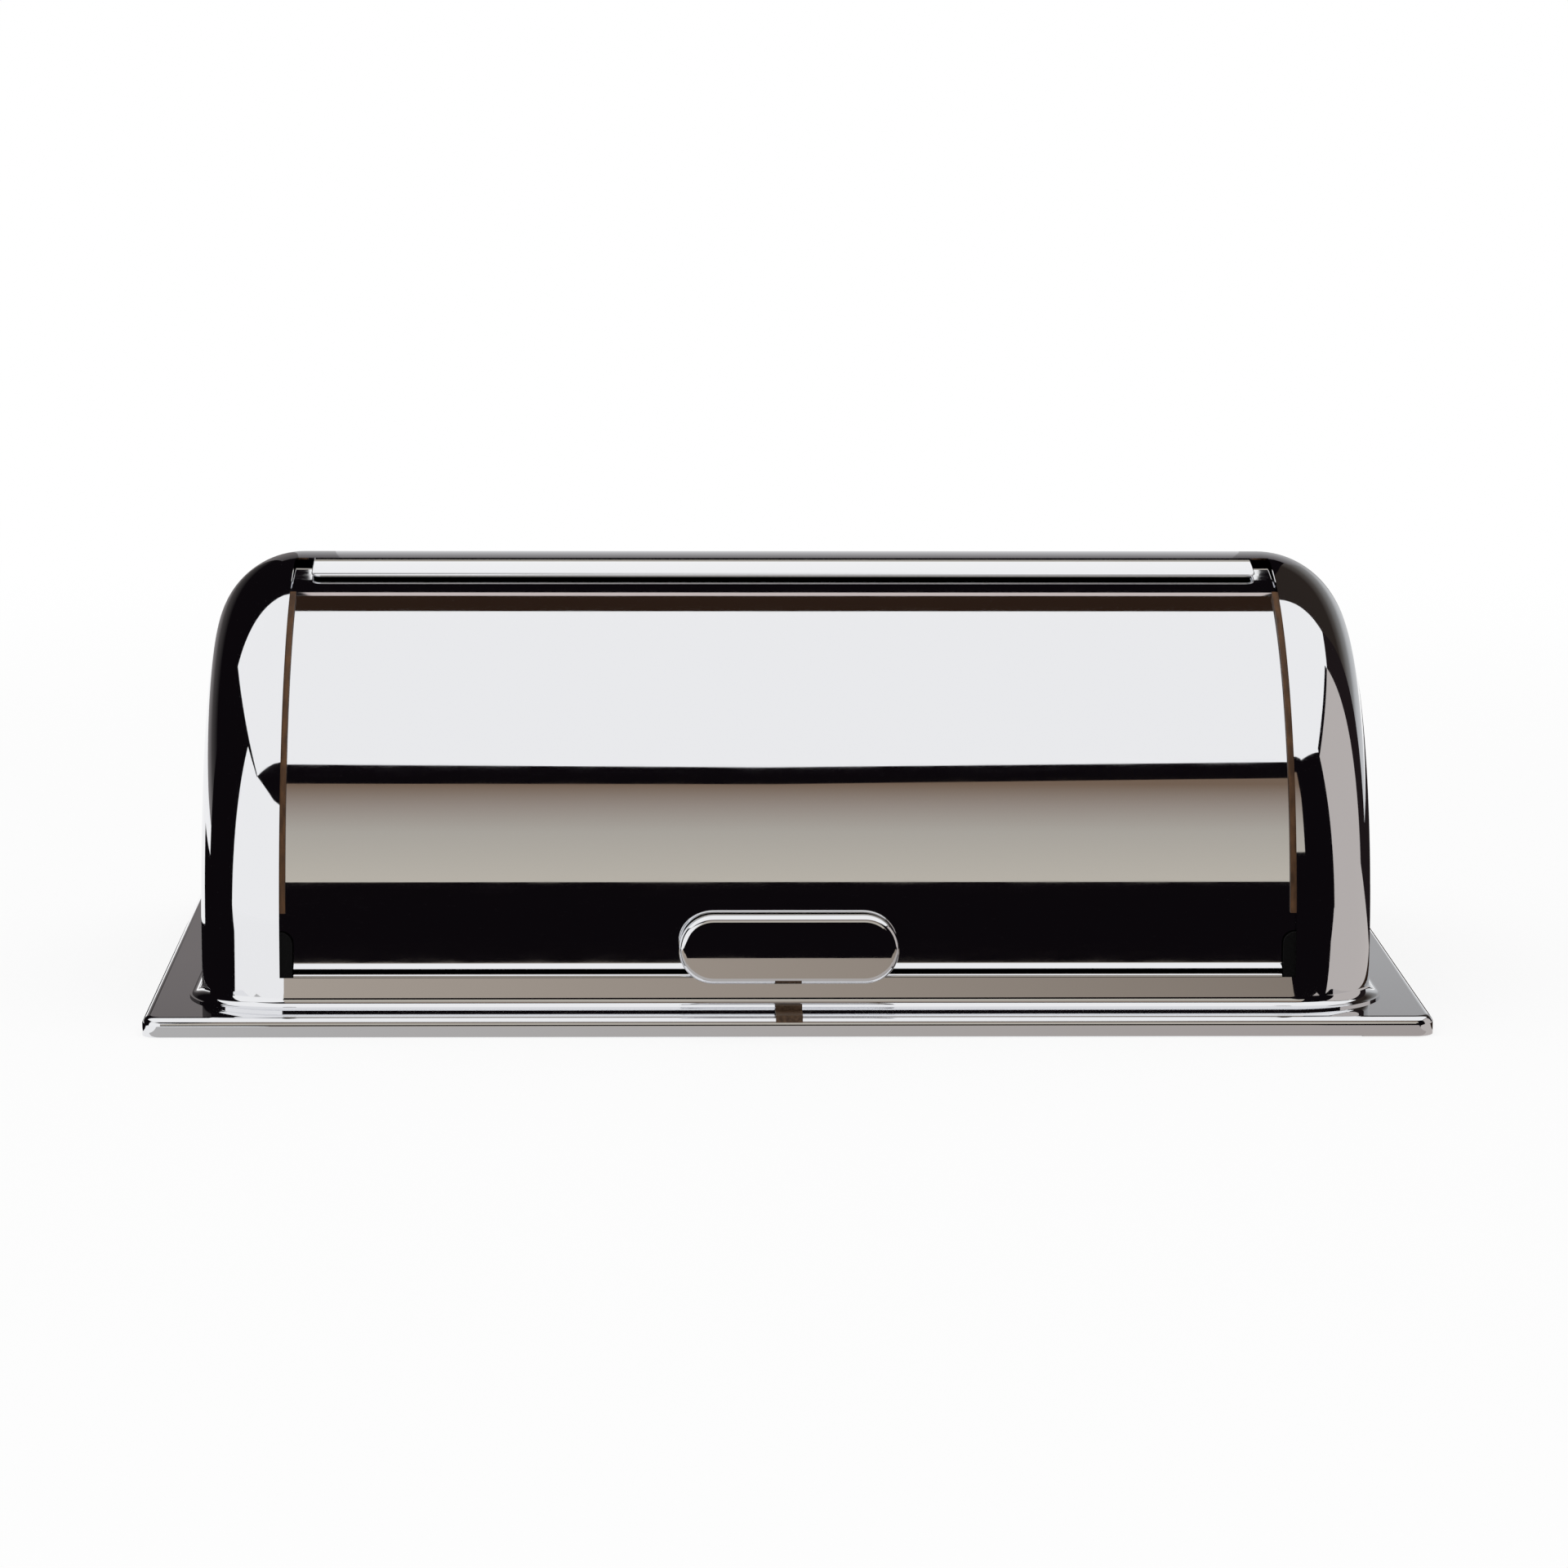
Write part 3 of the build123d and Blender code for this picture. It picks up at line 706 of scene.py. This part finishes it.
# %% Soft light overhead
lamp = bpy.data.lights.new("overhead", "AREA")
lamp.shape = "RECTANGLE"
lamp.size = 2.4
lamp.size_y = 1.8
lamp.energy = 14.0
overhead = bpy.data.objects.new("overhead", lamp)
overhead.location = (-0.1, -0.2, 1.9)
overhead.visible_glossy = False
overhead.visible_camera = False
scene.collection.objects.link(overhead)
print("overhead light", lamp.energy, "W")

# %% [markdown]
# The floor is pale and matt. The camera and the steel see it mostly as plain white, and wholly so further
# away, so it runs into the white surroundings without a line, while the box still throws its soft shadow.

# %% Pale floor
floor_half = 8.0
floor_drop = 0.3 * mm
floor_mesh = bmesh.new()
bmesh.ops.create_grid(floor_mesh, x_segments=1, y_segments=1, size=floor_half)
bmesh.ops.translate(floor_mesh, vec=(0, 0, -floor_drop), verts=floor_mesh.verts)
floor_data = bpy.data.meshes.new("floor")
floor_mesh.to_mesh(floor_data)
floor_mesh.free()
floor = bpy.data.objects.new("floor", floor_data)
scene.collection.objects.link(floor)
print("floor", floor.name)

# %% Floor finish
pale, matt = new_finish("pale_floor")
nodes, links = pale.node_tree.nodes, pale.node_tree.links
matt.inputs["Base Color"].default_value = (0.92, 0.92, 0.92, 1.0)
matt.inputs["Roughness"].default_value = 0.9
matt.inputs["Specular IOR Level"].default_value = 0.0
glow = nodes.new("ShaderNodeEmission")
glow.inputs["Color"].default_value = white
glow.inputs["Strength"].default_value = 1.0
place = nodes.new("ShaderNodeTexCoord")
away = nodes.new("ShaderNodeVectorMath")
away.operation = "LENGTH"
fade = nodes.new("ShaderNodeMapRange")
fade.interpolation_type = "SMOOTHSTEP"
fade.inputs["From Min"].default_value = 0.35
fade.inputs["From Max"].default_value = 1.6
fade.inputs["To Min"].default_value = 0.80
fade.inputs["To Max"].default_value = 1.0
share = nodes.new("ShaderNodeMath")
share.operation = "MULTIPLY"
blend = nodes.new("ShaderNodeMixShader")
links.new(place.outputs["Object"], away.inputs[0])
links.new(away.outputs["Value"], fade.inputs["Value"])
links.new(looked_at(nodes, links), share.inputs[0])
links.new(fade.outputs["Result"], share.inputs[1])
links.new(share.outputs[0], blend.inputs["Fac"])
links.new(matt.outputs[0], blend.inputs[1])
links.new(glow.outputs[0], blend.inputs[2])
links.new(blend.outputs[0], nodes["Material Output"].inputs["Surface"])
floor_data.materials.append(pale)
print("floor finish", pale.name)

# %% [markdown]
# Each card is one flat face. Its colour is what the steel shows of it, so it glows evenly at that colour
# and needs no lamp of its own. Some cards fade along one axis, as a wall does that is lit from one side:
# the beige one is paler at its foot, and those behind darken upwards, which softens the outline.

# %% Helpers for card finishes
def card_finish(name, colour):
    """An even glow for a studio card."""
    finish = bpy.data.materials.new(name)
    finish.use_nodes = True
    nodes, links = finish.node_tree.nodes, finish.node_tree.links
    nodes.remove(nodes["Principled BSDF"])
    glow = nodes.new("ShaderNodeEmission")
    glow.inputs["Color"].default_value = (*colour, 1.0)
    links.new(glow.outputs[0], nodes["Material Output"].inputs["Surface"])
    return finish


def graded_finish(name, axis, low, high, stops):
    """A glow that changes along an axis, between two places; stops are (share, colour), both ends first."""
    finish = card_finish(name, stops[0][1])
    nodes, links = finish.node_tree.nodes, finish.node_tree.links
    place = nodes.new("ShaderNodeTexCoord")
    parts = nodes.new("ShaderNodeSeparateXYZ")
    share = nodes.new("ShaderNodeMapRange")
    share.inputs["From Min"].default_value = low
    share.inputs["From Max"].default_value = high
    ramp = nodes.new("ShaderNodeValToRGB")
    for i, (at, colour) in enumerate(stops):
        stop = ramp.color_ramp.elements[i] if i < 2 else ramp.color_ramp.elements.new(at)
        stop.position = at
        stop.color = (*colour, 1.0)
    links.new(place.outputs["Object"], parts.inputs[0])
    links.new(parts.outputs[axis], share.inputs["Value"])
    links.new(share.outputs["Result"], ramp.inputs["Fac"])
    links.new(ramp.outputs["Color"], nodes["Emission"].inputs["Color"])
    return finish


print("card finish helpers ready")

# %% Card finishes
black = (0.004, 0.003, 0.004)
grey_low, grey_high = 0.20, 0.475
black_cloth = card_finish("black_cloth", black)
brown_cloth = card_finish("brown_cloth", (0.026, 0.014, 0.009))
dark_wall = card_finish("dark_wall", (0.014, 0.010, 0.011))
pale_strip = card_finish("pale_strip", (0.66, 0.58, 0.56))
white_card = card_finish("white_card", white[:3])
warm_panel = card_finish("warm_panel", (0.54, 0.50, 0.48))
dusk_wall = graded_finish("dusk_wall", "Z", grey_low, grey_high, [
    (0.0, (0.60, 0.60, 0.61)), (1.0, (0.17, 0.16, 0.165))])
dusk_half = graded_finish("dusk_half", "Z", grey_low, grey_high, [
    (0.0, (0.40, 0.40, 0.405)), (1.0, (0.11, 0.10, 0.105))])
dusk_turn = graded_finish("dusk_turn", "Z", grey_low, grey_high, [
    (0.0, (0.18, 0.165, 0.165)), (1.0, (0.06, 0.055, 0.056))])
dusk_flag = graded_finish("dusk_flag", "Z", 0.08, 0.36, [
    (0.0, (0.24, 0.225, 0.225)), (1.0, black), (0.40, (0.055, 0.050, 0.050))])
dusk_wing = graded_finish("dusk_wing", "Z", 0.06, 0.62, [
    (0.0, (0.62, 0.63, 0.64)), (1.0, (0.026, 0.020, 0.017)), (0.26, (0.47, 0.48, 0.49)),
    (0.42, (0.24, 0.24, 0.24)), (0.75, (0.08, 0.072, 0.066))])
# floor_shade is painted shade: the tray's shadow on the floor just before it, as the rim shows it. It is
# lighter on the left and darker and warmer towards the right.
floor_shade = graded_finish("floor_shade", "X", -0.265, 0.265, [
    (0.0, (0.50, 0.495, 0.49)), (1.0, (0.41, 0.37, 0.355)), (0.6, (0.46, 0.43, 0.41))])
beige_cloth = graded_finish("beige_cloth", "X", -0.22, 0.24, [
    (0.0, (0.44, 0.385, 0.33)), (1.0, (0.25, 0.21, 0.175)), (0.45, (0.36, 0.31, 0.262))])
beige_wall = graded_finish("beige_wall", "Z", 0.31, 1.44, [
    (0.0, (0.57, 0.53, 0.46)), (1.0, (0.20, 0.14, 0.10)), (0.43, (0.47, 0.44, 0.39)),
    (0.72, (0.34, 0.29, 0.25))])
print("card finishes ready")

# %% Helpers that place cards
def card(name, corners, finish):
    """A flat card through its corners, which only reflections show. Its outline has no hollow corner."""
    bm = bmesh.new()
    bmesh.ops.contextual_create(bm, geom=[bm.verts.new(c) for c in corners])
    mesh = bpy.data.meshes.new(name)
    bm.to_mesh(mesh)
    bm.free()
    mesh.materials.append(finish)
    made = bpy.data.objects.new(name, mesh)
    made.visible_camera = False
    made.visible_diffuse = False
    made.visible_shadow = False
    scene.collection.objects.link(made)


def facing(name, y, outline, finish):
    """A card across the front or the rear, drawn as (x, z)."""
    card(name, [(x, y, z) for x, z in outline], finish)


def laid(name, lift, outline, finish):
    """A card that lies on the floor, drawn as (x, y)."""
    card(name, [(x, y, lift) for x, y in outline], finish)


def hung(name, start, end, finish):
    """A card that hangs upright between two places, each given as (x, y, low, high)."""
    (x1, y1, low1, high1), (x2, y2, low2, high2) = start, end
    card(name, [(x1, y1, low1), (x2, y2, low2), (x2, y2, high2), (x1, y1, high1)], finish)


def oblong(left, right, low, high):
    """The corners of a card with level and upright edges."""
    return [(left, low), (right, low), (right, high), (left, high)]


print("card helpers ready")

# %% [markdown]
# The cards stand in a ring round the box, and their places follow from where each band shows on the steel.
# Those in front give the door its warm band between two black ones, and those on the floor before it colour
# the low walls and the foot. The side cards shape the rounded ends, black on the left and warm on the right.
# Those behind are what the crown shows: white for the cover strip, and grey or brown around it. Where two
# cards meet they share an edge or overlap, or a white line would show between them.

# %% Cards in front
overlay = 0.1 * mm
facing("front_beige", -1.50, [(-0.385, 0.31), (0.40, 0.31), (0.653, 0.58), (0.88, 0.59), (0.88, 1.672),
                              (0.03, 1.442), (-0.385, 1.46)], beige_wall)
facing("front_black", -1.52, [(-0.39, 0.0), (1.25, 0.0), (1.25, 2.01), (0.97, 2.07), (0.03, 1.80),
                              (-0.43, 1.89), (-0.455, 1.01), (-0.39, 1.0)], black_cloth)
card("front_left_wedge", [(-0.424, -1.5, 1.87), (-0.449, -1.5, 1.006), (-1.249, -0.9, 1.118)], black_cloth)
hung("left_seam", (-1.249, -0.90, 1.105, 1.13), (-1.40, -0.41, 1.10, 1.175), black_cloth)
hung("right_front_black", (1.169, -1.5, -0.02, 2.01), (1.49, -0.643, -0.02, 1.30), black_cloth)
# Painted shadow: a grey card just before the tray stands for the tray's shadow on the floor, which the rim
# reflects.
laid("painted_floor_shadow", overlay, oblong(-0.27, 0.27, -0.20, -0.163), floor_shade)
laid("floor_beige", 0.0, [(-0.225, -0.288), (0.228, -0.288), (0.224, -0.20), (-0.215, -0.20)], beige_cloth)
laid("floor_black", 0.0, [(-0.225, -0.288), (-0.37, -1.53), (0.46, -1.53), (0.228, -0.288)], black_cloth)
laid("floor_black_right", 0.0, [(0.235, -0.163), (0.224, -0.20), (0.228, -0.288), (0.46, -1.53),
                                (1.18, -1.53), (1.47, -0.70)], black_cloth)
print("front cards placed")

# %% Cards at the sides
hung("left_black", (-1.40, -0.41, -0.02, 1.175), (-1.40, 0.66, -0.02, 1.01), black_cloth)
laid("floor_black_near", 0.0, [(-0.27, -0.15), (-0.27, 0.12), (-0.385, 0.06), (-0.50, -0.218)], black_cloth)
laid("floor_black_left", 0.0, [(-0.385, 0.06), (-0.84, 0.67), (-1.40, 0.66), (-1.40, -0.41),
                               (-0.50, -0.218)], black_cloth)
hung("rear_left_black", (-1.40, 0.66, 0.08, 1.01), (-0.38, 1.0, 0.06, 1.47), dusk_flag)
hung("right_panel", (1.45, -0.671, -0.02, 1.24), (1.45, 0.551, -0.02, 1.18), warm_panel)
hung("right_seam", (1.46, -0.671, 1.20, 1.37), (1.46, 0.551, 1.15, 1.27), black_cloth)
laid("floor_warm_right", 0.0, [(0.235, -0.163), (1.47, -0.70), (1.45, 0.551), (0.30, 0.03)], warm_panel)
laid("floor_dark_right", 0.0, [(0.275, 0.03), (0.30, 0.03), (1.45, 0.551), (1.225, 0.90), (0.692, 0.97),
                               (0.42, 0.97)], dark_wall)
# A narrow dark brown card along the tray's right side keeps the right rim dark along its whole length.
laid("floor_brown_right", overlay, oblong(0.267, 0.30, -0.15, 0.20), brown_cloth)
hung("rear_right_dark", (1.45, 0.551, -0.02, 1.18), (1.225, 0.90, -0.02, 1.07), dark_wall)
hung("rear_right_black", (1.225, 0.90, -0.02, 1.07), (0.692, 1.0, 0.06, 1.574), dusk_wing)
hung("rear_right_inner", (0.692, 1.0, 0.06, 1.574), (0.44, 1.0, 0.06, 1.70), dusk_wing)
print("side cards placed")

# %% Cards behind
rear = 1.0
facing("rear_brown", rear, oblong(-0.38, 0.44, 1.37, 1.96), brown_cloth)
facing("rear_pale_line", rear, oblong(-0.30, 0.372, 1.270, 1.371), pale_strip)
facing("rear_black", 1.01, oblong(-0.42, 0.48, 0.46, 1.38), black_cloth)
facing("rear_white", rear, [(-0.268, grey_high), (0.315, grey_high), (0.336, 0.915), (-0.280, 0.915)],
       white_card)
facing("rear_grey", rear, oblong(-0.25, 0.30, 0.0, grey_high), dusk_wall)
facing("rear_grey_turn", rear, oblong(-0.29, -0.25, 0.0, grey_high), dusk_half)
facing("rear_grey_left", rear, oblong(-0.40, -0.29, 0.06, grey_high), dusk_turn)
facing("rear_grey_right", rear, oblong(0.30, 0.46, 0.06, grey_high), dusk_half)
print("rear cards placed")
